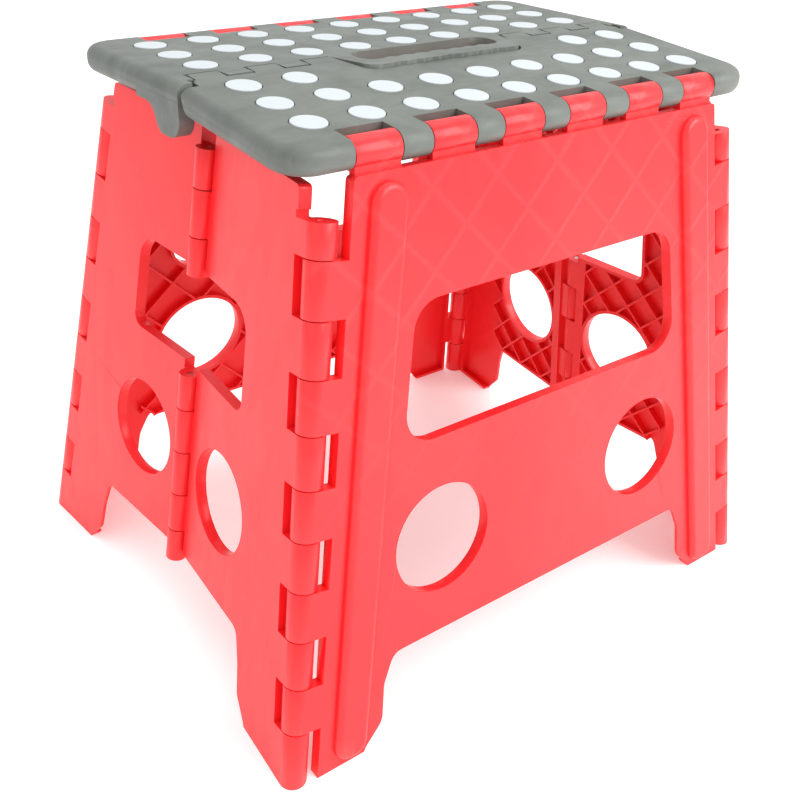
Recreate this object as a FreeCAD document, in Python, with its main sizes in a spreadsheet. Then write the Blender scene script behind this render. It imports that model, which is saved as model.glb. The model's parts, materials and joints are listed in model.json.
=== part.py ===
"""Folding step stool: four hinged side and end panels under a two-leaf top.

Frame: origin at the centre of the footprint on the floor, +Z up, +X along the long
sides, front panel towards -Y, left end towards -X. Millimetres.

Every panel is drawn flat in its own frame (across, up, outward normal) and then
placed. The stool stands slightly short of fully open, as such a stool does: the
two top leaves rise to a low crown and the end panels bow in a little.
"""
import FreeCAD, Part
import math
import os

Vector = FreeCAD.Vector

DIMENSIONS = [
    # overall frame
    ("end_half_base", 215.6, "corner hinge line to the middle plane at the floor, along X"),
    ("side_half_base", 175.5, "corner hinge line to the middle plane at the floor, along Y"),
    ("end_lean", 8.334, "lean of the end panels, degrees from upright"),
    ("side_splay", 8.503, "lean of the side panels, degrees from upright"),
    ("top_axis_height", 381.0, "height of the two hinge lines that carry the top"),
    ("crown", 2.5, "rise of each top leaf towards the middle, degrees"),
    ("end_bow", 5.0, "inward fold of the end panels at rest, degrees"),
    ("fold_offset", 10.0, "middle hinge lines to the panel planes, half the folded stack"),
    # moulded panels
    ("panel_depth", 8.0, "depth of the ribbed panels"),
    ("panel_skin", 2.6, "outer skin of the panels"),
    ("wall", 2.8, "border walls and rims behind the skin"),
    ("rib", 1.8, "thickness of the diagonal ribs"),
    ("side_rib_pitch", 34.0, "spacing of the side panels' diagonal ribs"),
    ("end_rib_pitch", 21.0, "spacing of the end panels' diagonal ribs"),
    # corner hinges
    ("corner_radius", 9.0, "outer radius of the corner and top edge knuckles"),
    ("corner_pin", 2.5, "radius of the corner hinge rods"),
    ("knuckle_first", 38.0, "height of the lowest corner knuckle"),
    ("knuckle_pitch", 32.44, "height of each further corner knuckle"),
    ("knuckle_last", 20.0, "height of the uppermost corner knuckle"),
    ("knuckle_gap", 0.8, "play between two neighbouring knuckles"),
    ("side_play", 4.0, "side panel edge to the end panel's corner knuckles"),
    ("end_play", 2.5, "end panel edge to the side panel's corner knuckles"),
    ("end_ear", 2.0, "reach of an end panel above its uppermost knuckle, past its edge"),
    ("running", 0.08, "radial play of a hinge rod"),
    # middle hinges of the ends
    ("middle_radius", 7.2, "outer radius of the end middle knuckles"),
    ("middle_pin", 2.0, "radius of the end middle rods"),
    ("middle_play", 1.4, "end panel edge to the other half's middle knuckles"),
    ("open_play", 0.9, "radial play where the linkage is opened, right end"),
    # side panel
    ("side_top_gap", 10.6, "side panel top edge below the top hinge line"),
    ("side_window_top", 296.6, "side window, top edge up the panel"),
    ("side_window_foot", 207.0, "side window, bottom edge up the panel"),
    ("side_window_half", 110.4, "side window, half width at the top"),
    ("side_window_flare", 12.9, "extra half width of the window at its bottom"),
    ("side_window_round", 20.0, "corner radius of the side window"),
    ("side_hole_x", 94.7, "round hole centre from the middle"),
    ("side_hole_up", 134.2, "round hole centre up the panel"),
    ("side_hole_radius", 38.0, "round hole radius"),
    ("side_arch", 64.7, "height of the arch between the feet"),
    ("side_foot_inner", 148.0, "inner edge of a side panel foot from the middle"),
    ("bead_offset", 36.5, "stiffening bead to the corner hinge line"),
    ("bead_width", 25.0, "width of the stiffening bead"),
    ("bead_rise", 5.0, "rise of the stiffening bead over the skin"),
    ("bead_end", 5.0, "upper end of the bead below the panel's top edge"),
    # end panels
    ("end_top", 368.0, "top edge of the end panels up the panel"),
    ("end_window_top", 278.0, "end window, top edge up the panel"),
    ("end_window_foot", 211.0, "end window, bottom edge up the panel"),
    ("end_window_half", 73.0, "end window, half width"),
    ("end_hole_out", 54.5, "round hole centre from the middle hinge"),
    ("end_hole_up", 136.0, "round hole centre up the panel"),
    ("end_hole_radius", 35.7, "round hole radius"),
    ("end_arch", 63.0, "height of the arch between the end feet"),
    ("end_foot_inner", 104.0, "inner edge of an end panel foot from the middle hinge"),
    # top leaves
    ("leaf_half", 188.0, "half length of the top"),
    ("leaf_skin", 3.0, "skin of the top leaves"),
    ("leaf_depth", 8.0, "depth of the ribbed part of the top leaves"),
    ("lip_depth", 16.5, "depth of the end lips"),
    ("lip_wall", 10.0, "thickness of the end lips"),
    ("lip_round", 7.0, "rounding of the lips"),
    ("leaf_corner", 22.0, "corner radius of the top seen from above"),
    ("edge_pitch", 52.3, "spacing of the top edge knuckles"),
    ("edge_knuckle", 30.5, "width of the side panel's top knuckles"),
    ("edge_gap", 0.75, "play beside a top knuckle"),
    ("edge_setback", 12.0, "leaf edge to the top hinge line beside a side knuckle"),
    ("seam_step", 5.0, "reach of the tabs across the middle line"),
    ("seam_gap", 1.3, "narrow gap along the middle seam"),
    ("seam_slot", 3.2, "wide gap behind a tab of the front leaf"),
    ("centre_radius", 6.0, "outer radius of the centre knuckles"),
    ("centre_pin", 2.0, "radius of the centre rods"),
    ("tab_width", 20.0, "width of a tab at the middle seam"),
    ("tab_pitch", 39.5, "spacing of the front leaf's tabs"),
    ("tab_first", 73.0, "inner side of the innermost tab"),
    ("claw_radius", 13.5, "reach of the rear leaf's claw about the centre hinge line"),
    ("claw_drift", 5.0, "path of the claw in the front leaf as the top snaps over centre"),
    ("claw_play", 1.6, "play round the claw in the front leaf, over that path"),
    ("hook_play", 1.5, "centre rod to the inner face of a front knuckle's hook"),
    ("tongue_reach", 28.0, "reach of the handle tongue across the middle line"),
    ("tongue_half", 63.0, "half length of the tongue's front edge"),
    ("grip_half", 57.0, "half length of the hand hole"),
    ("grip_back", 10.0, "hand hole, rear edge behind the middle line"),
    ("grip_front", 14.0, "hand hole, front edge ahead of the middle line"),
    ("groove_depth", 2.6, "depth of the finger grooves"),
    # anti-slip studs
    ("dot_radius", 10.4, "radius of a grip stud"),
    ("dot_rise", 0.6, "rise of a grip stud over the leaf"),
    ("dot_sink", 1.2, "depth of a grip stud's recess"),
    ("dot_gap", 0.7, "gap round a grip stud"),
    ("dot_pitch", 38.06, "spacing of the grip studs along X"),
    ("row_first", 26.9, "outer stud row from the top hinge line"),
    ("row_pitch", 33.5, "spacing of the stud rows"),
]

# heights of the middle hinge's knuckle breaks at an end panel, bottom to top:
# the lower run starts below the arch edge, the upper run ends under the top
LOWER_BREAKS = [56.0, 82.0, 112.0, 146.0, 179.0, 205.0]
UPPER_BREAKS = [274.0, 300.0, 331.0, 356.5]

COLUMNS = range(9)
HANDLE_COLUMNS = (2, 3, 4, 5, 6)

doc = FreeCAD.newDocument("folding_step_stool")
sheet = doc.addObject("Spreadsheet::Sheet", "dims")
for row, (alias, number, meaning) in enumerate(DIMENSIONS, start=1):
    sheet.set("A%d" % row, alias)
    sheet.set("B%d" % row, str(number))
    sheet.set("C%d" % row, meaning)
    sheet.setAlias("B%d" % row, alias)
doc.recompute()


def value(alias):
    """A driving dimension as it stands in the sheet."""
    return float(sheet.get(alias))


def tangent(alias):
    return math.tan(math.radians(value(alias)))


def setback(radius, play):
    """Panel edge to a hinge line: the knuckle's radius and the play beside it."""
    return value(radius) + value(play)


# ---------------------------------------------------------------- hinge lines

def corner_point(height):
    """Point of the rear left corner hinge line at a height over the floor."""
    return Vector(-(value("end_half_base") - tangent("end_lean") * height),
                  value("side_half_base") - tangent("side_splay") * height,
                  height)


def leaf_axis_y():
    """Distance of the top hinge lines from the middle plane."""
    return value("side_half_base") - tangent("side_splay") * value("top_axis_height")


CORNER_LINE = (corner_point(100.0) - corner_point(0.0)).normalize()
END_NORMAL = FreeCAD.Rotation(CORNER_LINE, value("end_bow")).multVec(
    Vector(-1.0, 0.0, tangent("end_lean")).normalize())


def middle_point(height):
    """Point of the left end's middle hinge line, in the plane y = 0."""
    foot = corner_point(0.0)
    across = value("fold_offset") + END_NORMAL.y * foot.y - END_NORMAL.z * height
    return Vector(foot.x + across / END_NORMAL.x, 0.0, height)


MIDDLE_LINE = (middle_point(100.0) - middle_point(0.0)).normalize()


def frame(origin, up, normal):
    """Placement whose local Y runs up the panel and local Z along its normal."""
    across = up.cross(normal)
    matrix = FreeCAD.Matrix(across.x, up.x, normal.x, origin.x,
                            across.y, up.y, normal.y, origin.y,
                            across.z, up.z, normal.z, origin.z,
                            0, 0, 0, 1)
    return FreeCAD.Placement(matrix)


def mirrored(vector, x_sign, y_sign):
    return Vector(vector.x * x_sign, vector.y * y_sign, vector.z)


HALF_TURN = FreeCAD.Placement(Vector(), FreeCAD.Rotation(Vector(0, 0, 1), 180))

splay = math.radians(value("side_splay"))
SIDE_FRAME = frame(Vector(0, value("side_half_base"), 0),
                   Vector(0, -math.sin(splay), math.cos(splay)),
                   Vector(0, math.cos(splay), math.sin(splay)))

end_origin = middle_point(0.0) - END_NORMAL * value("fold_offset")
END_REAR_FRAME = frame(end_origin, MIDDLE_LINE, END_NORMAL)
END_FRONT_FRAME = frame(mirrored(end_origin, 1, -1), mirrored(MIDDLE_LINE, 1, -1),
                        mirrored(END_NORMAL, 1, -1))

crown = math.radians(value("crown"))
LEAF_FRAME = frame(Vector(0, leaf_axis_y(), value("top_axis_height")),
                   Vector(0, -math.cos(crown), math.sin(crown)),
                   Vector(0, math.sin(crown), math.cos(crown)))


# ---------------------------------------------------------------- sketch tools

def corner_arc(before, corner, after, radius):
    """Tangent points, centre and end angles of a rounded corner."""
    towards = (before - corner).normalize()
    onwards = (after - corner).normalize()
    half = towards.getAngle(onwards) / 2.0
    reach = radius / math.tan(half)
    start = corner + towards * reach
    finish = corner + onwards * reach
    centre = corner + (towards + onwards).normalize() * (radius / math.sin(half))
    return start, finish, centre


def add_loop(sketch, corners):
    """Closed outline: each corner is (x, y) or (x, y, radius)."""
    points = [Vector(c[0], c[1], 0) for c in corners]
    radii = [c[2] if len(c) > 2 else 0.0 for c in corners]
    count = len(points)
    starts, finishes = [], []
    for i in range(count):
        if radii[i] <= 0:
            starts.append(points[i])
            finishes.append(points[i])
            continue
        before, after = points[i - 1], points[(i + 1) % count]
        start, finish, centre = corner_arc(before, points[i], after, radii[i])
        first = math.atan2(start.y - centre.y, start.x - centre.x)
        last = math.atan2(finish.y - centre.y, finish.x - centre.x)
        if (points[i] - before).cross(after - points[i]).z < 0:
            first, last = last, first
        circle = Part.Circle(centre, Vector(0, 0, 1), radii[i])
        sketch.addGeometry(Part.ArcOfCircle(circle, first, last), False)
        starts.append(start)
        finishes.append(finish)
    for i in range(count):
        begin, end = finishes[i], starts[(i + 1) % count]
        if begin.distanceToPoint(end) > 1e-6:
            sketch.addGeometry(Part.LineSegment(begin, end), False)


def add_circle(sketch, x, y, radius):
    sketch.addGeometry(Part.Circle(Vector(x, y, 0), Vector(0, 0, 1), radius), False)


def new_body(name):
    return doc.addObject("PartDesign::Body", name + "_body")


def new_sketch(body, name, level="0", role="XY_Plane"):
    """Sketch on one of the body's own planes, lifted to a level given in dimensions."""
    sketch = body.newObject("Sketcher::SketchObject", name)
    plane = [f for f in body.Origin.OriginFeatures if f.Role == role][0]
    sketch.AttachmentSupport = (plane, "")
    sketch.MapMode = "FlatFace"
    sketch.setExpression("AttachmentOffset.Base.z", level)
    return sketch


def pad(body, sketch, length):
    feature = body.newObject("PartDesign::Pad", sketch.Name + "_pad")
    feature.Profile = sketch
    feature.setExpression("Length", length)
    sketch.Visibility = False
    return feature


def pocket(body, sketch, length):
    """Pocket that runs along +Z from its sketch."""
    feature = body.newObject("PartDesign::Pocket", sketch.Name + "_pocket")
    feature.Profile = sketch
    feature.setExpression("Length", length)
    feature.Reversed = True
    sketch.Visibility = False
    return feature


def round_edges(body, base, radius, chosen):
    """Fillet the base feature's edges that the test picks out."""
    doc.recompute()
    names = []
    for number, edge in enumerate(base.Shape.Edges, start=1):
        if chosen(edge):
            names.append("Edge%d" % number)
    fillet = body.newObject("PartDesign::Fillet", base.Name + "_round")
    fillet.Base = (base, names)
    fillet.setExpression("Radius", radius)


# ---------------------------------------------------------------- solid tools

def cylinder(name, start, finish, radius):
    """Cylinder between two points, its radius bound to the sheet."""
    along = finish - start
    solid = doc.addObject("Part::Cylinder", name)
    solid.setExpression("Radius", radius)
    solid.Height = along.Length
    solid.Placement = FreeCAD.Placement(start, FreeCAD.Rotation(Vector(0, 0, 1), along))
    return solid


def box(name, low, high, placement=None):
    """Box between two corners of a frame."""
    solid = doc.addObject("Part::Box", name)
    solid.Length = high[0] - low[0]
    solid.Width = high[1] - low[1]
    solid.Height = high[2] - low[2]
    corner = FreeCAD.Placement(Vector(*low), FreeCAD.Rotation())
    solid.Placement = placement.multiply(corner) if placement else corner
    return solid


def fuse(name, solids):
    if len(solids) == 1:
        return solids[0]
    joined = doc.addObject("Part::MultiFuse", name)
    joined.Shapes = solids
    return joined


def finish_node(label, base, tools, placement):
    """The sub-part itself: base less its tools, in its place."""
    node = doc.addObject("Part::Cut", label + "_node")
    node.Base = base
    node.Tool = fuse(label + "_cuts", tools)
    node.Refine = True
    node.Placement = placement
    node.Label = label
    NODES.append(node)
    return node


def floor_tool(label, placement):
    """Everything under the floor, seen from a panel's frame."""
    reach = 2.0 * (value("end_half_base") + value("side_half_base"))
    depth = 60.0
    return box(label + "_floor", (-reach, -reach, -depth), (reach, reach, 0.0), placement.inverse())


def knuckles(label, line_point, line, inward, spans, radius, depth_low, depth_high, web):
    """Barrels along a hinge line and the webs that tie them to a panel."""
    solids = []
    normal = Vector(0, 0, 1)
    half_gap = value("knuckle_gap") / 2.0
    for number, (low, high) in enumerate(spans):
        start = line_point + line * (low + half_gap)
        finish = line_point + line * (high - half_gap)
        solids.append(cylinder("%s_barrel%d" % (label, number), start, finish, radius))
        side = frame(Vector(start.x, start.y, 0), line, normal)
        sign = 1.0 if side.Rotation.multVec(Vector(1, 0, 0)).dot(inward) > 0 else -1.0
        low_x, high_x = sorted((0.0, sign * web))
        solids.append(box("%s_web%d" % (label, number), (low_x, 0.0, depth_low),
                          (high_x, (finish - start).Length, depth_high), side))
    return solids


def corner_spans(which):
    """Spans along the corner line: the side panel's or the end panel's knuckles."""
    first, pitch = value("knuckle_first"), value("knuckle_pitch")
    breaks = [0.0] + [first + pitch * i for i in range(10)]
    breaks.append(breaks[-1] + value("knuckle_last"))
    scale = 1.0 / CORNER_LINE.z
    spans = [(low * scale, high * scale) for low, high in zip(breaks, breaks[1:])]
    spans[0] = (-value("corner_radius"), spans[0][1])
    return spans[1::2] if which == "side" else spans[0::2]


def knuckle_top():
    """Height of the upper end of the corner knuckles."""
    return value("knuckle_first") + 9 * value("knuckle_pitch") + value("knuckle_last")


def clipped_strip(slope, offset, half, left, right, low, high):
    """Corners of a diagonal strip y = slope * x + offset inside a rectangle, or None."""
    def at(y, shift):
        return (y - offset - shift) / slope
    lower, upper = sorted((at(low, 0.0), at(high, 0.0)))
    begin, end = max(lower, left), min(upper, right)
    if end - begin < 12.0 * half:
        return None
    rise = half * math.hypot(1.0, slope)
    return [(begin, slope * begin + offset - rise), (end, slope * end + offset - rise),
            (end, slope * end + offset + rise), (begin, slope * begin + offset + rise)]


def diagonal_ribs(body, label, area, spacing, inner):
    """Two crossing sets of diagonal ribs behind the skin."""
    left, right, low, high = area
    half = value("rib") / 2.0
    pitch = value(spacing) * math.sqrt(2.0)
    for slope, name in ((1.0, "rise"), (-1.0, "fall")):
        sketch = new_sketch(body, "%s_ribs_%s" % (label, name), inner)
        middle = (low + high) / 2.0 - slope * (left + right) / 2.0
        count = int((right - left + high - low) / pitch) + 1
        for i in range(-count, count + 1):
            strip = clipped_strip(slope, middle + i * pitch, half, left, right, low, high)
            if strip:
                add_loop(sketch, strip)
        pad(body, sketch, "dims.panel_depth - dims.panel_skin / 2")


NODES = []


# ---------------------------------------------------------------- side panels

def side_edge(up, back):
    """Half width of a side panel at a distance up it, less a setback."""
    slope = tangent("end_lean") * math.cos(splay)
    return value("end_half_base") - slope * up - back * math.hypot(1.0, slope)


def side_panel(label, placement):
    """Long panel: skin, borders, diagonal ribs, window, holes, arch, beads and knuckles."""
    inner = "dims.corner_radius - dims.panel_depth"
    depth = value("corner_radius")
    low_z = value("corner_radius") - value("panel_depth")
    top = value("top_axis_height") / math.cos(splay) - value("side_top_gap")
    back = setback("corner_radius", "side_play")
    foot = -value("panel_depth")

    body = new_body(label)
    outline = new_sketch(body, label + "_outline", inner)
    add_loop(outline, both_sides([(side_edge(foot, back), foot), (side_edge(top, back), top, 3.0)]))
    pad(body, outline, "dims.panel_depth")

    wall = value("wall")
    hollow = new_sketch(body, label + "_hollow", inner)
    inset = [(side_edge(up, back + wall), up) for up in (wall, top - wall)]
    add_loop(hollow, both_sides(inset))
    pocket(body, hollow, "dims.panel_depth - dims.panel_skin")

    reach = side_edge(top, back)
    diagonal_ribs(body, label, (-reach, reach, value("side_arch"), top - wall), "side_rib_pitch", inner)
    rims(body, label, inner, side_openings(wall), side_holes(wall))
    holes = new_sketch(body, label + "_openings", inner)
    for corners in side_openings(0.0):
        add_loop(holes, corners)
    for x, y, radius in side_holes(0.0):
        add_circle(holes, x, y, radius)
    pocket(body, holes, "dims.panel_depth")
    beads(body, label, top)

    solids = [body]
    for sign in (-1.0, 1.0):
        side = "left" if sign * placement.Rotation.multVec(Vector(1, 0, 0)).x < 0 else "right"
        name = "%s_%s" % (label, side)
        point, line = corner_in_side_frame(sign)
        solids += knuckles(name, point, line, Vector(-sign, 0, 0), corner_spans("side"),
                           "dims.corner_radius", low_z, depth, back + wall)
    axis_up = value("top_axis_height") / math.cos(splay)
    half = value("edge_knuckle") / 2.0
    for i in range(6):
        x = (i - 2.5) * value("edge_pitch")
        solids.append(cylinder("%s_top%d" % (label, i), Vector(x - half, axis_up, 0),
                               Vector(x + half, axis_up, 0), "dims.corner_radius"))
        solids.append(box("%s_neck%d" % (label, i), (x - half, top - wall, low_z),
                          (x + half, axis_up, depth - value("panel_skin"))))
    tools = [floor_tool(label, placement)]
    for sign in (-1.0, 1.0):
        point, line = corner_in_side_frame(sign)
        tools.append(cylinder("%s_bore%d" % (label, sign), point - line * 20.0, point + line * 400.0,
                              "dims.corner_pin + dims.running"))
    tools.append(cylinder(label + "_top_bore", Vector(-200.0, axis_up, 0), Vector(200.0, axis_up, 0),
                          "dims.corner_pin + dims.running"))
    return finish_node(label, fuse(label + "_solid", solids), tools, placement)


def corner_in_side_frame(sign):
    """Corner hinge line on one side of a side panel's own frame."""
    inverse = SIDE_FRAME.inverse()
    point = inverse.multVec(corner_point(0.0))
    line = inverse.Rotation.multVec(CORNER_LINE)
    flip = sign if point.x > 0 else -sign
    return Vector(point.x * flip, point.y, 0), Vector(line.x * flip, line.y, 0).normalize()


def side_openings(wall):
    """Window and arch outlines, grown inwards by a wall for their rims."""
    top, foot = value("side_window_top") + wall, value("side_window_foot") - wall
    half = value("side_window_half") + wall
    wide = half + value("side_window_flare")
    rounding = value("side_window_round") + wall
    window = [(-wide, foot, rounding), (wide, foot, rounding), (half, top, rounding), (-half, top, rounding)]
    arch = value("side_arch") + wall
    inner = value("side_foot_inner") - wall
    knee = [(inner + 18.0, -40.0), (inner + 18.0, 0.0, 8.0), (inner + 2.0, 16.0, 14.0),
            (inner - 1.0, 44.0, 20.0), (inner - 10.0, arch, 10.0)]
    return [window, knee + [(-corner[0],) + corner[1:] for corner in reversed(knee)]]


def side_holes(wall):
    up, radius = value("side_hole_up"), value("side_hole_radius") + wall
    return [(sign * value("side_hole_x"), up, radius) for sign in (-1.0, 1.0)]


def rims(body, label, inner, outlines, circles):
    """Solid patches that the openings are cut through, so that each keeps a rim."""
    for number, corners in enumerate(outlines):
        sketch = new_sketch(body, "%s_rim%d" % (label, number), inner)
        add_loop(sketch, corners)
        pad(body, sketch, "dims.panel_depth - dims.panel_skin / 2")
    if circles:
        sketch = new_sketch(body, label + "_hole_rims", inner)
        for x, y, radius in circles:
            add_circle(sketch, x, y, radius)
        pad(body, sketch, "dims.panel_depth - dims.panel_skin / 2")


def beads(body, label, top):
    """Long rounded beads on the outer face, along the corner hinge lines."""
    sketch = new_sketch(body, label + "_beads", "dims.corner_radius - dims.panel_skin / 2")
    offset, half = value("bead_offset"), value("bead_width") / 2.0
    low, high = value("wall") + half, top - value("bead_end")
    for sign in (-1.0, 1.0):
        outer = [(sign * side_edge(y, offset - half), y) for y in (low - half, high)]
        inner = [(sign * side_edge(y, offset + half), y) for y in (high, low - half)]
        corners = [(x, y, half * 0.98) for x, y in outer + inner]
        corners[0] = outer[0] + (half * 0.9,)
        corners[3] = inner[1] + (half * 0.9,)
        add_loop(sketch, corners)
    bead = pad(body, sketch, "dims.bead_rise + dims.panel_skin / 2")
    level = value("corner_radius") + value("bead_rise")
    round_edges(body, bead, "dims.bead_rise * 0.9",
                lambda edge: abs(edge.CenterOfMass.z - level) < 0.01 and edge.BoundBox.ZLength < 0.01)


# ---------------------------------------------------------------- end panels

def end_panel(label, placement, front, bore):
    """Half of an end: panel, half window, hole, foot, corner and middle knuckles."""
    inner = "dims.corner_radius - dims.panel_depth"
    low_z = value("corner_radius") - value("panel_depth")
    depth = value("corner_radius")
    sign = 1.0 if front else -1.0
    point, line = corner_in_end_frame(sign)

    def edge(up, back):
        """Corner side of the panel at a distance up it, less a setback."""
        on_line = point.x + (up - point.y) * line.x / line.y
        return on_line - sign * back / line.y

    wall = value("wall")
    top, foot = value("end_top"), -value("panel_depth")
    step = knuckle_top() / MIDDLE_LINE.z + 2.0
    near = sign * setback("middle_radius", "middle_play")
    back = setback("corner_radius", "end_play")
    ear = back - value("end_ear")
    body = new_body(label)
    outline = new_sketch(body, label + "_outline", inner)
    add_loop(outline, [(near, foot), (edge(foot, back), foot), (edge(step, back), step),
                       (edge(step, ear), step), (edge(top, ear), top, 3.0), (near, top)])
    pad(body, outline, "dims.panel_depth")

    hollow = new_sketch(body, label + "_hollow", inner)
    far_low, far_high = edge(wall, back + wall), edge(top - wall, back + wall)
    start = near + sign * 3.0 * wall
    add_loop(hollow, [(start, wall), (far_low, wall), (far_high, top - wall), (start, top - wall)])
    pocket(body, hollow, "dims.panel_depth - dims.panel_skin")
    left, right = sorted((start, far_high))
    diagonal_ribs(body, label, (left, right, value("end_arch"), top - wall), "end_rib_pitch", inner)
    rims(body, label, inner, end_openings(sign, wall, near), end_holes(sign, wall))
    holes = new_sketch(body, label + "_openings", inner)
    for corners in end_openings(sign, 0.0, 0.0):
        add_loop(holes, corners)
    for x, y, radius in end_holes(sign, 0.0):
        add_circle(holes, x, y, radius)
    pocket(body, holes, "dims.panel_depth")

    solids = [body]
    solids += knuckles(label + "_corner", point, line, Vector(-sign, 0, 0), corner_spans("end"),
                       "dims.corner_radius", low_z, depth, back + wall)
    axis = Vector(0, 0, value("fold_offset"))
    spans = middle_spans(front)
    reach = abs(near) + wall
    solids += knuckles(label + "_middle", axis, Vector(0, 1, 0), Vector(sign, 0, 0), spans,
                       "dims.middle_radius", low_z + 1.5, depth, reach)
    tools = [floor_tool(label, placement),
             cylinder(label + "_corner_bore", point - line * 20.0, point + line * 400.0,
                      "dims.corner_pin + dims.running"),
             cylinder(label + "_middle_bore", axis, axis + Vector(0, 400, 0),
                      "dims.middle_pin + " + bore)]
    return finish_node(label, fuse(label + "_solid", solids), tools, placement)


def corner_in_end_frame(sign):
    """Corner hinge line in an end panel's own frame."""
    inverse = END_REAR_FRAME.inverse()
    point = inverse.multVec(corner_point(0.0))
    line = inverse.Rotation.multVec(CORNER_LINE)
    flip = sign if point.x > 0 else -sign
    return Vector(point.x * flip, point.y, 0), Vector(line.x * flip, line.y, 0).normalize()


def middle_spans(front):
    """Spans of one half's knuckles on the middle hinge, along the hinge line."""
    spans = []
    for breaks in (LOWER_BREAKS, UPPER_BREAKS):
        pairs = list(zip(breaks, breaks[1:]))
        spans += pairs[1::2] if front else pairs[0::2]
    return spans


def end_openings(sign, wall, near):
    """Half window and half arch of an end panel."""
    top, foot = value("end_window_top") + wall, value("end_window_foot") - wall
    half = sign * (value("end_window_half") + wall)
    window = [(near, foot), (half, foot, 8.0 + wall), (half - sign * 4.0, top, 18.0 + wall), (near, top)]
    arch = value("end_arch") + wall
    inner = value("end_foot_inner") - wall
    knee = [(near, -40.0), (sign * (inner + 20.0), -40.0), (sign * (inner + 18.0), 0.0, 8.0),
            (sign * (inner + 4.0), 16.0, 12.0), (sign * inner, 40.0, 20.0),
            (sign * (inner - 7.0), arch, 8.0), (near, arch)]
    return [window, knee]


def end_holes(sign, wall):
    return [(sign * value("end_hole_out"), value("end_hole_up"), value("end_hole_radius") + wall)]


# ---------------------------------------------------------------- top leaves

def leaf_lengths():
    """Distances up a leaf from its hinge line: the centre rods and the middle seam."""
    centre = (leaf_axis_y() - value("fold_offset") * math.sin(crown)) / math.cos(crown)
    seam = (leaf_axis_y() + value("corner_radius") * math.sin(crown)) / math.cos(crown)
    return centre, seam


def both_sides(right_half):
    """Close an outline that is the same left and right of the leaf's middle."""
    return right_half + [(-corner[0],) + corner[1:] for corner in reversed(right_half)]


def grooved_edge(half, level, depth):
    """Finger grooves along an edge, from the right end to the middle: crests and hollows."""
    corners = []
    count = 4
    step = half / count
    for i in range(count):
        x = half - step * (i + 0.25)
        corners.append((x, level, 5.0))
        corners.append((x - step * 0.5, level - depth, 5.0))
    return corners


def tongue_side(seam, gap):
    """Right half of the handle tongue, seen from the rear leaf's frame."""
    reach = seam + value("tongue_reach") + gap
    root = value("tab_first") - 0.8 + gap
    tip = value("tongue_half") + gap
    return root, tip, reach


def rear_leaf_outline(seam):
    """Right half of the rear leaf from above, outer edge first."""
    half, radius = value("leaf_half"), value("corner_radius")
    block = 2.5 * value("edge_pitch") + value("edge_knuckle") / 2.0 + value("edge_gap")
    back = value("edge_setback")
    corners = [(block, back), (block, -radius), (half, -radius, value("leaf_corner"))]
    centre, _ = leaf_lengths()
    claw_side = half - value("lip_wall")
    notch = seam - value("seam_step") - value("seam_slot")
    tab = seam + value("seam_step")
    corners += [(half, centre + value("claw_radius")), (claw_side, centre + value("claw_radius"))]
    corners.append((claw_side, tab))
    gap = value("seam_gap")
    for i in (2, 1, 0):
        inner = value("tab_first") + i * value("tab_pitch")
        outer = inner + value("tab_width")
        corners += [(outer + gap, tab), (outer + gap, notch), (inner - gap, notch)]
        if i:
            corners.append((inner - gap, tab))
    root, tip, reach = tongue_side(seam, 0.0)
    corners[-1] = (root, notch)
    corners.append((tip, reach, 10.0))
    corners += grooved_edge(tip - 12.0, reach, value("groove_depth") / 2.0)
    return corners


def front_leaf_outline(seam):
    """Right half of the front leaf from above, outer edge first."""
    half, radius = value("leaf_half"), value("corner_radius")
    block = 2.5 * value("edge_pitch") + value("edge_knuckle") / 2.0 + value("edge_gap")
    back = value("edge_setback")
    corners = [(block, back), (block, -radius), (half, -radius, value("leaf_corner"))]
    centre, _ = leaf_lengths()
    gap = value("seam_gap")
    lip_end = centre - value("claw_radius") - 2.0
    claw_side = half - value("lip_wall") - gap * 2.0
    notch = seam - value("seam_step") - gap
    tab = seam + value("seam_step")
    corners += [(half, lip_end), (claw_side, lip_end), (claw_side, notch)]
    for i in (2, 1, 0):
        inner = value("tab_first") + i * value("tab_pitch")
        outer = inner + value("tab_width")
        corners += [(outer, notch), (outer, tab), (inner, tab)]
        if i:
            corners.append((inner, notch))
    root, tip, reach = tongue_side(seam, gap)
    far = 2.0 * seam - reach
    corners.append((tip, far, 10.0))
    for x, level, rounding in grooved_edge(tip - gap - 12.0, reach, value("groove_depth") / 2.0):
        corners.append((x, 2.0 * seam - level, rounding))
    return corners


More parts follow.
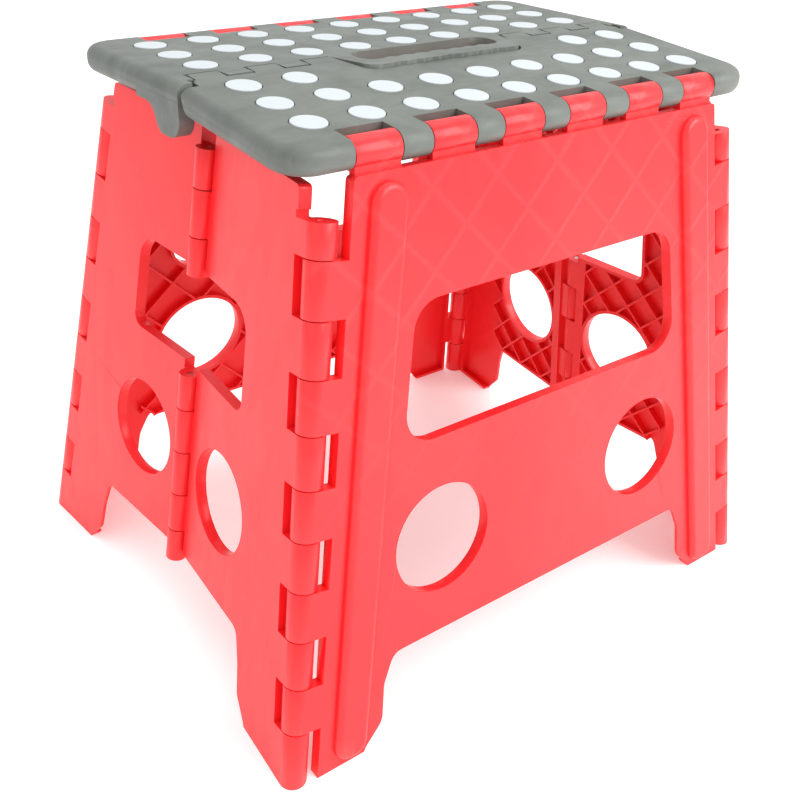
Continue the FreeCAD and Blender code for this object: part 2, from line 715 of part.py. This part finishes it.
def leaf(label, placement, outline_corners, rear):
    """Half of the top: skin, ribs, end lips, hinge knuckles and stud recesses."""
    centre, seam = leaf_lengths()
    body = new_body(label)
    lip_level = "dims.corner_radius - dims.lip_depth"
    outline = new_sketch(body, label + "_outline", lip_level)
    add_loop(outline, both_sides(outline_corners))
    pad(body, outline, "dims.lip_depth")

    inside = value("leaf_half") - value("lip_wall")
    block = 2.5 * value("edge_pitch") + value("edge_knuckle") / 2.0 + value("edge_gap")
    under = new_sketch(body, label + "_under", lip_level)
    past = seam + value("tongue_reach") + 30.0
    back = value("edge_setback")
    step = [(inside, past), (inside, back + 4.0, 4.0), (block - 0.5, back + 4.0), (block - 0.5, back - 4.0)]
    add_loop(under, both_sides(step[::-1]))
    cut = pocket(body, under, "dims.lip_depth - dims.leaf_depth")

    lip_fillet(body, cut)
    if rear:
        claws(body, label, centre)
    cells(body, label, seam, rear)
    studs = new_sketch(body, label + "_recesses", "dims.corner_radius - dims.dot_sink")
    for row in range(3):
        for x, y in stud_places(row, rear):
            add_circle(studs, x, y, value("dot_radius") + value("dot_gap"))
    pocket(body, studs, "dims.dot_sink + 1")
    if rear:
        grip = new_sketch(body, label + "_grip", lip_level)
        add_loop(grip, grip_outline(seam))
        pocket(body, grip, "dims.lip_depth")

    solids = [body] + edge_knuckles(label) + centre_knuckles(label, centre, rear)
    tools = [cylinder(label + "_edge_bore", Vector(-rod_half(), 0, 0), Vector(rod_half(), 0, 0),
                      "dims.corner_pin + dims.running")]
    tools += centre_cuts(label, centre, rear)
    return finish_node(label, fuse(label + "_solid", solids), tools, placement)


def rod_half():
    """Half length of the rods that carry the top."""
    return value("leaf_half") - value("leaf_corner")


def lip_fillet(body, base):
    """Round the upper and lower outer edges of the end lips and corners."""
    high = value("corner_radius")
    low = high - value("lip_depth")
    half, radius = value("leaf_half"), value("corner_radius")
    block = half - value("leaf_corner") - 0.01

    def chosen(edge):
        spot = edge.BoundBox
        flat = spot.ZLength < 0.01 and min(abs(spot.ZMax - high), abs(spot.ZMax - low)) < 0.01
        if not flat:
            return False
        at_end = abs(abs(edge.CenterOfMass.x) - half) < 0.01 and spot.XLength < 0.01
        at_corner = abs(edge.CenterOfMass.x) > block and spot.YMin < 0 and spot.XLength > 5.0
        at_side = abs(edge.CenterOfMass.y + radius) < 0.01 and spot.YLength < 0.01
        return at_end or at_corner or at_side

    round_edges(body, base, "dims.lip_round", chosen)


def claws(body, label, centre):
    """Claws of the rear leaf's lips, which reach down round the centre hinge line."""
    reach = value("claw_radius")
    bottom = -value("fold_offset") - reach
    lip = value("corner_radius") - value("lip_depth")
    for side, start in (("right", "dims.leaf_half - dims.lip_wall"), ("left", "-dims.leaf_half")):
        sketch = new_sketch(body, "%s_claw_%s" % (label, side), start, "YZ_Plane")
        add_loop(sketch, [(centre - 40.0, lip + 6.0), (centre - 40.0, lip), (centre - 20.0, lip, 12.0),
                          (centre - 13.0, bottom, 8.0), (centre + reach, bottom, reach * 0.98),
                          (centre + reach, lip + 6.0)])
        pad(body, sketch, "dims.lip_wall")


def cells(body, label, seam, rear):
    """Hollows behind the skin, left between straight ribs."""
    low = value("edge_setback") + 3.0 * value("wall")
    high = seam - value("seam_step") - value("seam_slot") - 3.0 * value("wall")
    half = value("leaf_half") - value("lip_wall") - value("wall")
    columns, rows = 8, 3
    wide, tall = 2.0 * half / columns, (high - low) / rows
    rib = value("rib")
    sketch = new_sketch(body, label + "_cells", "dims.corner_radius - dims.leaf_depth")
    for i in range(columns):
        for j in range(rows):
            x, y = -half + i * wide + rib / 2.0, low + j * tall + rib / 2.0
            far_x, far_y = x + wide - rib, y + tall - rib
            if j == rows - 1 and min(abs(x), abs(far_x)) < value("grip_half") + rib:
                far_y = seam - (value("tongue_reach") if not rear else value("grip_back")) - 3.0 * value("wall")
            if far_y - y > 2.0 * rib:
                add_loop(sketch, [(x, y), (far_x, y), (far_x, far_y), (x, far_y)])
    pocket(body, sketch, "dims.leaf_depth - dims.leaf_skin")


def stud_places(row, rear):
    """Centres of a row's studs in a leaf's frame."""
    y = value("row_first") + row * value("row_pitch")
    columns = [i for i in COLUMNS if rear or row < 2 or i not in HANDLE_COLUMNS]
    return [((i - 4) * value("dot_pitch"), y) for i in columns]


def grip_outline(seam):
    """Hand hole in the rear leaf, with finger grooves along its front edge."""
    half = value("grip_half")
    back, front = seam - value("grip_back"), seam + value("grip_front")
    right = [(half, back, 9.0), (half, front, 9.0)]
    right += grooved_edge(half - 10.0, front, value("groove_depth"))
    return both_sides(right)


def edge_knuckles(label):
    """Knuckles on the leaf's outer edge, between those of the side panel."""
    half = (value("edge_pitch") - value("edge_knuckle")) / 2.0 - value("edge_gap")
    top = value("corner_radius")
    low = top - value("leaf_depth")
    solids = []
    for i in range(5):
        x = (i - 2) * value("edge_pitch")
        solids.append(cylinder("%s_edge%d" % (label, i), Vector(x - half, 0, 0), Vector(x + half, 0, 0),
                               "dims.corner_radius"))
        solids.append(box("%s_edge_neck%d" % (label, i), (x - half, 0, low),
                          (x + half, value("edge_setback") + value("wall"), top)))
    return solids


def tab_spans(rear):
    """Spans along X of a leaf's centre knuckles, on the right."""
    gap = value("seam_gap") / 2.0
    spans = []
    for i in range(3):
        inner = value("tab_first") + i * value("tab_pitch")
        outer = inner + value("tab_width")
        if rear:
            if i < 2:
                spans.append((outer + gap, inner + value("tab_pitch") - gap))
        else:
            spans.append((inner, outer))
    return spans


def centre_knuckles(label, centre, rear):
    """Knuckles of the hidden centre hinge, under the tabs of the seam."""
    solids = []
    level = -value("fold_offset")
    high = value("corner_radius") - value("leaf_skin") / 2.0
    radius = value("centre_radius")
    for side, sign in (("right", 1.0), ("left", -1.0)):
        for number, (low_x, high_x) in enumerate(tab_spans(rear)):
            ends = sorted((sign * low_x, sign * high_x))
            name = "%s_centre_%s%d" % (label, side, number)
            solids.append(cylinder(name, Vector(ends[0], centre, level), Vector(ends[1], centre, level),
                                   "dims.centre_radius"))
            if rear:
                solids.append(box(name + "_neck", (ends[0], centre - 12.0, level), (ends[1], centre, high)))
            else:
                inside = hook_inside()
                solids.append(box(name + "_neck", (ends[0], centre + inside, level),
                                  (ends[1], centre + radius, high)))
    return solids


def hook_inside():
    """Inner face of a front knuckle's hook, from the centre rod's line."""
    return value("centre_pin") + value("hook_play")


def centre_cuts(label, centre, rear):
    """Bores of the rear knuckles, and the open side of the front leaf's hooks."""
    level = -value("fold_offset")
    tools = []
    for side, sign in (("right", 1.0), ("left", -1.0)):
        start, finish = centre_rod_span()
        if rear:
            ends = sorted((sign * start, sign * (finish + 1.0)))
            tools.append(cylinder("%s_bore_%s" % (label, side), Vector(ends[0] - 2.0, centre, level),
                                  Vector(ends[1], centre, level), "dims.centre_pin + dims.running"))
        else:
            low_x, high_x = value("leaf_half") - value("lip_wall") - 4.0, value("leaf_half") + 1.0
            sweep = sorted((sign * low_x, sign * high_x))
            along = centre - value("claw_drift")
            up = level + value("claw_drift") * 0.85
            tools.append(cylinder("%s_sweep_%s" % (label, side), Vector(sweep[0], along, up),
                                  Vector(sweep[1], along, up), "dims.claw_radius + dims.claw_play"))
            inside, drift = hook_inside(), value("claw_drift") + value("claw_play")
            radius = value("centre_radius") + drift
            ends = sorted((sign * (start - 3.0), sign * (finish - value("lip_wall") + 2.0)))
            tools.append(box("%s_open_%s" % (label, side), (ends[0], centre - radius, level - inside),
                             (ends[1], centre + inside, level + radius)))
    return tools


def centre_rod_span():
    """Inner and outer end of a centre rod along X."""
    return value("tab_first") + 1.0, value("leaf_half") - 3.0


# ---------------------------------------------------------------- rods and studs

def rod(label, start, finish, radius):
    node = cylinder(label + "_node", start, finish, radius)
    node.Label = label
    NODES.append(node)
    return node


def rod_group(label, ends, radius):
    """Several equal rods in one sub-part."""
    rods = [cylinder("%s_%d" % (label, i), start, finish, radius)
            for i, (start, finish) in enumerate(ends)]
    group = doc.addObject("Part::Compound", label + "_node")
    group.Links = rods
    group.Label = label
    NODES.append(group)
    return group


def stud_row(label, row, rear, placement):
    """One row of grip studs, each seated in its recess."""
    studs = []
    level = value("corner_radius") - value("dot_sink")
    for i, (x, y) in enumerate(stud_places(row, rear)):
        stud = doc.addObject("Part::Cylinder", "%s_%d" % (label, i))
        stud.setExpression("Radius", "dims.dot_radius")
        stud.setExpression("Height", "dims.dot_sink + dims.dot_rise")
        stud.Placement.Base = Vector(x, y, level)
        studs.append(stud)
    group = doc.addObject("Part::Compound", label + "_row")
    group.Links = studs
    smooth = doc.addObject("Part::Feature", label + "_node")
    doc.recompute()
    edge = value("dot_rise") * 0.8
    rims_up = [e for e in group.Shape.Edges
               if abs(e.BoundBox.ZMin - level - value("dot_sink") - value("dot_rise")) < 1e-6
               and e.Length > 1.0]
    smooth.Shape = group.Shape.makeFillet(edge, rims_up)
    smooth.Placement = placement
    smooth.Label = label
    NODES.append(smooth)


side_panel("side_rear", SIDE_FRAME)
side_panel("side_front", HALF_TURN.multiply(SIDE_FRAME))
end_panel("end_left_rear", END_REAR_FRAME, False, "dims.running")
end_panel("end_left_front", END_FRONT_FRAME, True, "dims.running")
end_panel("end_right_front", HALF_TURN.multiply(END_REAR_FRAME), False, "dims.open_play")
end_panel("end_right_rear", HALF_TURN.multiply(END_FRONT_FRAME), True, "dims.running")

_, seam_line = leaf_lengths()
leaf("top_rear", LEAF_FRAME, rear_leaf_outline(seam_line), True)
FRONT_LEAF_FRAME = HALF_TURN.multiply(LEAF_FRAME)
leaf("top_front", FRONT_LEAF_FRAME, front_leaf_outline(seam_line), False)

for side, x_sign in (("left", 1), ("right", -1)):
    for end, y_sign in (("rear", 1), ("front", -1)):
        low, high = corner_point(4.0), corner_point(knuckle_top() - 2.0)
        rod("corner_rod_%s_%s" % (side, end), mirrored(low, x_sign, y_sign),
            mirrored(high, x_sign, y_sign), "dims.corner_pin")
for side, x_sign in (("left", 1), ("right", -1)):
    spans = []
    for breaks in (LOWER_BREAKS, UPPER_BREAKS):
        low = middle_point(0.0) + MIDDLE_LINE * (breaks[0] + 1.0)
        high = middle_point(0.0) + MIDDLE_LINE * (breaks[-1] - 1.0)
        spans.append((mirrored(low, x_sign, 1), mirrored(high, x_sign, 1)))
    rod_group("middle_rods_" + side, spans, "dims.middle_pin")
for end, y_sign in (("rear", 1), ("front", -1)):
    reach = rod_half() - 1.0
    y, z = y_sign * leaf_axis_y(), value("top_axis_height")
    rod("top_rod_" + end, Vector(-reach, y, z), Vector(reach, y, z), "dims.corner_pin")
centre_up, _ = leaf_lengths()
rod_ends = []
for sign in (-1.0, 1.0):
    start, finish = centre_rod_span()
    ends = sorted((sign * start, sign * finish))
    rod_ends.append(tuple(LEAF_FRAME.multVec(Vector(x, centre_up, -value("fold_offset"))) for x in ends))
rod_group("centre_rods", rod_ends, "dims.centre_pin")
for row, name in enumerate(("outer", "middle", "inner")):
    stud_row("studs_rear_" + name, row, True, LEAF_FRAME)
    stud_row("studs_front_" + name, row, False, FRONT_LEAF_FRAME)

doc.recompute()
os.makedirs("parts", exist_ok=True)
for item in doc.Objects:
    if "Invalid" in item.State or "Error" in item.State:
        raise RuntimeError("%s did not build" % item.Label)
for node in NODES:
    if node.Shape.isNull() or not node.Shape.isValid():
        raise RuntimeError("%s has no valid shape" % node.Label)
    node.Shape.exportStep("parts/%s.step" % node.Label)
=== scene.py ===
"""Looks of the folding step stool: moulded plastic, grip studs and a soft studio."""
import json
import math

import bpy
from mathutils import Matrix, Vector

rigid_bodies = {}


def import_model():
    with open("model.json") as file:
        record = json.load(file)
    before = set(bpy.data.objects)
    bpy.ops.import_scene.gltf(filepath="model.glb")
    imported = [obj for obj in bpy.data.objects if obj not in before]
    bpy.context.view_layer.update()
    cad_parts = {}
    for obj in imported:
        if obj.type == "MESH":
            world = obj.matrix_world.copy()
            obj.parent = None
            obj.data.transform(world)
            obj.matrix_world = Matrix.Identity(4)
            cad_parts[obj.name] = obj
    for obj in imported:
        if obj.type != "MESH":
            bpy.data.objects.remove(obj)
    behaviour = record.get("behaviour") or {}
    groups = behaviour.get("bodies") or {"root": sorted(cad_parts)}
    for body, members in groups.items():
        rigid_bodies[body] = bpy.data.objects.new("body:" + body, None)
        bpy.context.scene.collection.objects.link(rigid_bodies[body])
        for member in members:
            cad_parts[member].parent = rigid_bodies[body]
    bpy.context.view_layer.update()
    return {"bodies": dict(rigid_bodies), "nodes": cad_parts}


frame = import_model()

# camera on the front left of the stool, a little above it
VIEW_AZIMUTH = math.radians(-39.6)
VIEW_ELEVATION = math.radians(31.47)
VIEW_ROLL = math.radians(3.63)
VIEW_DISTANCE = 0.687
VIEW_AIM = Vector((-0.0839, -0.0994, 0.2))
LENS_MM = 47.3
SENSOR_MM = 36.0

# diagonal ribs on the back of the side panels, as the frame has them
SIDE_SPLAY = math.radians(8.5)
RIB_SPACING = 0.034
RIB_MIDDLE = 0.2175
RIB_MARK_HALF = 0.0032

# moulded edges
EDGE_RADIUS = 0.0005
EDGE_ANGLE = math.radians(40.0)
WELD_GAP = 0.000005

# colours
RED = (0.90, 0.013, 0.018)
RED_PALE = (0.93, 0.024, 0.028)
# paler red painted on the rib sink marks: a painted sheen, the marks themselves being only
# dips in the skin
RED_MARK_SHEEN = (0.96, 0.070, 0.073)
DUST = (0.36, 0.16, 0.14)
GREY = (0.112, 0.124, 0.110)
GREY_LIGHT = (0.155, 0.169, 0.152)
GREY_DARK = (0.068, 0.076, 0.066)
STUD = (0.53, 0.57, 0.59)
STUD_SOILED = (0.43, 0.46, 0.475)
STEEL = (0.55, 0.55, 0.56)
STEEL_DARK = (0.42, 0.42, 0.44)

# studio
FLOOR_HALF = 8.0
FLOOR_PAINT = (0.93, 0.93, 0.93, 1.0)
WHITE = (1.0, 1.0, 1.0, 1.0)
FLOOR_GLOW = 0.25
ROOM_LIGHT = 0.98
LIGHT_AIM = Vector((0.0, 0.0, 0.2))
# name, place, size, watts
LIGHTS = (
    ("front_box", (0.7, -1.3, 1.15), (1.4, 1.1), 24.0),
    ("left_box", (-2.0, -0.3, 1.1), (1.6, 1.4), 2.5),
    ("overhead", (0.1, 0.3, 2.2), (2.0, 2.0), 15.0),
)


# ------------------------------------------------------------------ node tools

class Graph:
    """A material's node tree, with short calls for the nodes used here."""

    def __init__(self, name):
        self.material = bpy.data.materials.new(name)
        self.material.use_nodes = True
        self.tree = self.material.node_tree
        self.tree.nodes.clear()
        self.output = self.tree.nodes.new("ShaderNodeOutputMaterial")
        self.shader = self.tree.nodes.new("ShaderNodeBsdfPrincipled")
        self.link(self.shader.outputs["BSDF"], self.output.inputs["Surface"])
        self.place = self.tree.nodes.new("ShaderNodeTexCoord").outputs["Object"]

    def link(self, source, target):
        self.tree.links.new(source, target)

    def put(self, value, target):
        """Link a socket, or set a plain number or colour."""
        if isinstance(value, bpy.types.NodeSocket):
            self.link(value, target)
        else:
            target.default_value = value

    def stretch(self, scale):
        """Object coordinates scaled per axis."""
        node = self.tree.nodes.new("ShaderNodeMapping")
        node.inputs["Scale"].default_value = scale
        self.link(self.place, node.inputs["Vector"])
        return node.outputs["Vector"]

    def noise(self, scale, detail=3.0, rough=0.5, stretch=None, distort=0.0):
        node = self.tree.nodes.new("ShaderNodeTexNoise")
        node.inputs["Scale"].default_value = scale
        node.inputs["Detail"].default_value = detail
        node.inputs["Roughness"].default_value = rough
        node.inputs["Distortion"].default_value = distort
        place = self.stretch(stretch) if stretch else self.place
        self.link(place, node.inputs["Vector"])
        return node.outputs["Fac"]

    def math(self, operation, first, second=0.0):
        node = self.tree.nodes.new("ShaderNodeMath")
        node.operation = operation
        self.put(first, node.inputs[0])
        self.put(second, node.inputs[1])
        return node.outputs[0]

    def ramp(self, value, low, high, out_low=0.0, out_high=1.0):
        """Smooth step from out_low to out_high as value goes from low to high."""
        node = self.tree.nodes.new("ShaderNodeMapRange")
        node.interpolation_type = "SMOOTHSTEP"
        self.put(value, node.inputs["Value"])
        node.inputs["From Min"].default_value = low
        node.inputs["From Max"].default_value = high
        node.inputs["To Min"].default_value = out_low
        node.inputs["To Max"].default_value = out_high
        return node.outputs["Result"]

    def mix(self, factor, first, second):
        """Blend of two colours, each a socket or three numbers."""
        node = self.tree.nodes.new("ShaderNodeMix")
        node.data_type = "RGBA"
        self.put(factor, node.inputs["Factor"])
        for value, socket in ((first, node.inputs[6]), (second, node.inputs[7])):
            if isinstance(value, bpy.types.NodeSocket):
                self.link(value, socket)
            else:
                socket.default_value = (*value, 1.0)
        return node.outputs[2]

    def bump(self, height, strength, distance, under=None):
        """Normal from a height, on top of the normal under it."""
        node = self.tree.nodes.new("ShaderNodeBump")
        node.inputs["Strength"].default_value = strength
        node.inputs["Distance"].default_value = distance
        self.link(height, node.inputs["Height"])
        if under:
            self.link(under, node.inputs["Normal"])
        return node.outputs["Normal"]

    def axes(self):
        """Object coordinates as three sockets."""
        node = self.tree.nodes.new("ShaderNodeSeparateXYZ")
        self.link(self.place, node.inputs["Vector"])
        return node.outputs["X"], node.outputs["Y"], node.outputs["Z"]

    def finish(self, colour, roughness, normal, specular=0.5):
        self.put(colour, self.shader.inputs["Base Color"])
        self.put(roughness, self.shader.inputs["Roughness"])
        self.link(normal, self.shader.inputs["Normal"])
        self.shader.inputs["Specular IOR Level"].default_value = specular
        return self.material


# ------------------------------------------------------------------ materials

def rib_marks(graph):
    """Sink marks where the diagonal ribs meet the back of a side panel's skin: a mask for
    their bump and for a painted sheen along them.
    """
    pitch = RIB_SPACING * math.sqrt(2.0)
    reach = RIB_MARK_HALF * math.sqrt(2.0) / pitch
    x, _, z = graph.axes()
    along = graph.math("MULTIPLY", z, 1.0 / math.cos(SIDE_SPLAY))
    up = graph.math("SUBTRACT", along, RIB_MIDDLE)
    marks_and_sheen = []
    for operation in ("ADD", "SUBTRACT"):
        turn = graph.math("DIVIDE", graph.math(operation, up, x), pitch)
        nearest = graph.math("ROUND", turn)
        away = graph.math("ABSOLUTE", graph.math("SUBTRACT", turn, nearest))
        marks_and_sheen.append(graph.ramp(away, 0.0, reach, out_low=1.0, out_high=0.0))
    return graph.math("MAXIMUM", marks_and_sheen[0], marks_and_sheen[1])


def panel_plastic(name, with_marks):
    """Glossy moulded polypropylene: flow shading, fine grain, dust towards the feet."""
    graph = Graph(name)
    flow = graph.noise(7.0, detail=4.0, rough=0.55, stretch=(1.0, 1.0, 0.35), distort=0.4)
    colour = graph.mix(graph.ramp(flow, 0.3, 0.72), RED, RED_PALE)

    _, _, height = graph.axes()
    smear = graph.noise(55.0, detail=5.0, rough=0.62, stretch=(1.0, 1.0, 0.6))
    near_floor = graph.ramp(height, 0.0, 0.05, out_low=1.0, out_high=0.0)
    dust = graph.math("MULTIPLY", near_floor, graph.ramp(smear, 0.52, 0.78))
    colour = graph.mix(graph.math("MULTIPLY", dust, 0.22), colour, DUST)

    grain = graph.noise(1500.0, detail=2.0)
    ripple = graph.noise(24.0)
    normal = graph.bump(grain, strength=0.10, distance=0.0002)
    normal = graph.bump(ripple, strength=0.12, distance=0.0016, under=normal)
    wear = graph.noise(90.0, detail=6.0, rough=0.7, stretch=(1.0, 1.0, 0.25))
    roughness = graph.ramp(wear, 0.35, 0.75, out_low=0.30, out_high=0.42)

    if with_marks:
        fade = graph.ramp(height, 0.10, 0.33, out_low=0.12)
        patches = graph.ramp(flow, 0.25, 0.6, out_low=0.3)
        marks_and_sheen = graph.math("MULTIPLY", rib_marks(graph), graph.math("MULTIPLY", fade, patches))
        # painted sheen: the sink marks are drawn paler, more strongly towards the top; the
        # bump below gives their real dip
        colour = graph.mix(graph.math("MULTIPLY", marks_and_sheen, 0.22), colour, RED_MARK_SHEEN)
        normal = graph.bump(marks_and_sheen, strength=0.3, distance=0.0005, under=normal)
    return graph.finish(colour, roughness, normal, specular=0.45)


def top_plastic():
    """Grey filled plastic with the marbled flow of its pigment and a fine grain."""
    graph = Graph("top_plastic")
    flow = graph.noise(16.0, detail=6.0, rough=0.62, stretch=(0.7, 1.3, 1.3), distort=1.2)
    streak = graph.noise(46.0, detail=5.0, rough=0.6, stretch=(0.35, 1.0, 1.0), distort=0.6)
    colour = graph.mix(graph.ramp(flow, 0.32, 0.68), GREY, GREY_LIGHT)
    colour = graph.mix(graph.ramp(streak, 0.5, 0.8, out_high=0.45), colour, GREY_DARK)

    grain = graph.noise(2200.0, detail=2.0, rough=0.55)
    pebble = graph.noise(620.0)
    normal = graph.bump(grain, strength=0.16, distance=0.0002)
    normal = graph.bump(pebble, strength=0.14, distance=0.0004, under=normal)
    wear = graph.noise(60.0, detail=5.0, rough=0.6)
    roughness = graph.ramp(wear, 0.3, 0.75, out_low=0.44, out_high=0.58)
    return graph.finish(colour, roughness, normal, specular=0.42)


def grip_stud():
    """Soft white stud: matt, with a faint scuff from feet."""
    graph = Graph("grip_stud")
    scuff = graph.noise(170.0, detail=6.0, rough=0.68, distort=0.8)
    colour = graph.mix(graph.ramp(scuff, 0.55, 0.8, out_high=0.4), STUD, STUD_SOILED)
    grain = graph.noise(1300.0, rough=0.6)
    normal = graph.bump(grain, strength=0.22, distance=0.0003)
    roughness = graph.ramp(scuff, 0.3, 0.8, out_low=0.55, out_high=0.72)
    return graph.finish(colour, roughness, normal, specular=0.38)


def rod_steel():
    """Drawn steel rod with fine lines along its length."""
    graph = Graph("rod_steel")
    lines = graph.noise(500.0, rough=0.6, stretch=(1.0, 1.0, 0.03))
    colour = graph.mix(graph.ramp(lines, 0.35, 0.7), STEEL, STEEL_DARK)
    normal = graph.bump(lines, strength=0.15, distance=0.0001)
    roughness = graph.ramp(lines, 0.3, 0.7, out_low=0.24, out_high=0.38)
    graph.shader.inputs["Metallic"].default_value = 1.0
    return graph.finish(colour, roughness, normal)


# ------------------------------------------------------------------ the stool

def dress_nodes():
    """Give every CAD node its material, and round the moulded edges of each node that bears a
    body's name.
    """
    side = panel_plastic("side_plastic", with_marks=True)
    end = panel_plastic("end_plastic", with_marks=False)
    top, stud, steel = top_plastic(), grip_stud(), rod_steel()
    for name, piece in frame["nodes"].items():
        if "rod" in name:
            material = steel
        elif name.startswith("studs"):
            material = stud
        elif name.startswith("top"):
            material = top
        else:
            material = side if name.startswith("side") else end
        for slot in piece.material_slots:
            slot.link = "OBJECT"
            slot.material = material
        if name in frame["bodies"]:
            round_edges(piece)


def round_edges(piece):
    """Small rounding on the panel's moulded edges."""
    weld = piece.modifiers.new("weld", "WELD")
    weld.merge_threshold = WELD_GAP
    bevel = piece.modifiers.new("edge_round", "BEVEL")
    bevel.width = EDGE_RADIUS
    bevel.segments = 2
    bevel.limit_method = "ANGLE"
    bevel.angle_limit = EDGE_ANGLE
    bevel.use_clamp_overlap = True
    bevel.harden_normals = True


# ------------------------------------------------------------------ the studio

def add_floor():
    """Pale floor with a faint glow of its own, so that its shadows stay light."""
    mesh = bpy.data.meshes.new("floor")
    turns = ((-1, -1), (1, -1), (1, 1), (-1, 1))
    corners = [(FLOOR_HALF * x, FLOOR_HALF * y, 0.0) for x, y in turns]
    mesh.from_pydata(corners, [], [(0, 1, 2, 3)])
    floor = bpy.data.objects.new("floor", mesh)
    bpy.context.scene.collection.objects.link(floor)
    graph = Graph("floor_paint")
    normal = graph.bump(graph.noise(90.0), strength=0.03, distance=0.0005)
    graph.shader.inputs["Emission Color"].default_value = WHITE
    graph.shader.inputs["Emission Strength"].default_value = FLOOR_GLOW
    mesh.materials.append(graph.finish(FLOOR_PAINT, 0.7, normal, specular=0.2))


def add_lights():
    """Three soft boxes in a white room."""
    for name, place, size, watts in LIGHTS:
        data = bpy.data.lights.new(name, "AREA")
        data.shape = "RECTANGLE"
        data.size, data.size_y = size
        data.energy = watts
        light = bpy.data.objects.new(name, data)
        light.location = place
        light.rotation_euler = (LIGHT_AIM - Vector(place)).to_track_quat("-Z", "Y").to_euler()
        bpy.context.scene.collection.objects.link(light)
    world = bpy.data.worlds.new("studio")
    world.use_nodes = True
    background = world.node_tree.nodes["Background"]
    background.inputs["Color"].default_value = WHITE
    background.inputs["Strength"].default_value = ROOM_LIGHT
    bpy.context.scene.world = world


def add_camera():
    """Camera that looks at the aim, turned about its own axis by the roll."""
    back = Vector((math.sin(VIEW_AZIMUTH) * math.cos(VIEW_ELEVATION),
                   -math.cos(VIEW_AZIMUTH) * math.cos(VIEW_ELEVATION),
                   math.sin(VIEW_ELEVATION)))
    right = (-back).cross(Vector((0.0, 0.0, 1.0))).normalized()
    above = back.cross(right)
    rolled_right = right * math.cos(VIEW_ROLL) + above * math.sin(VIEW_ROLL)
    rolled_above = above * math.cos(VIEW_ROLL) - right * math.sin(VIEW_ROLL)
    data = bpy.data.cameras.new("camera")
    data.lens = LENS_MM
    data.sensor_width = SENSOR_MM
    camera = bpy.data.objects.new("camera", data)
    turn = Matrix((rolled_right, rolled_above, back)).transposed().to_4x4()
    camera.matrix_world = Matrix.Translation(VIEW_AIM + back * VIEW_DISTANCE) @ turn
    bpy.context.scene.collection.objects.link(camera)
    bpy.context.scene.camera = camera


add_camera()
add_floor()
add_lights()
dress_nodes()
bpy.context.scene.view_settings.view_transform = "Standard"
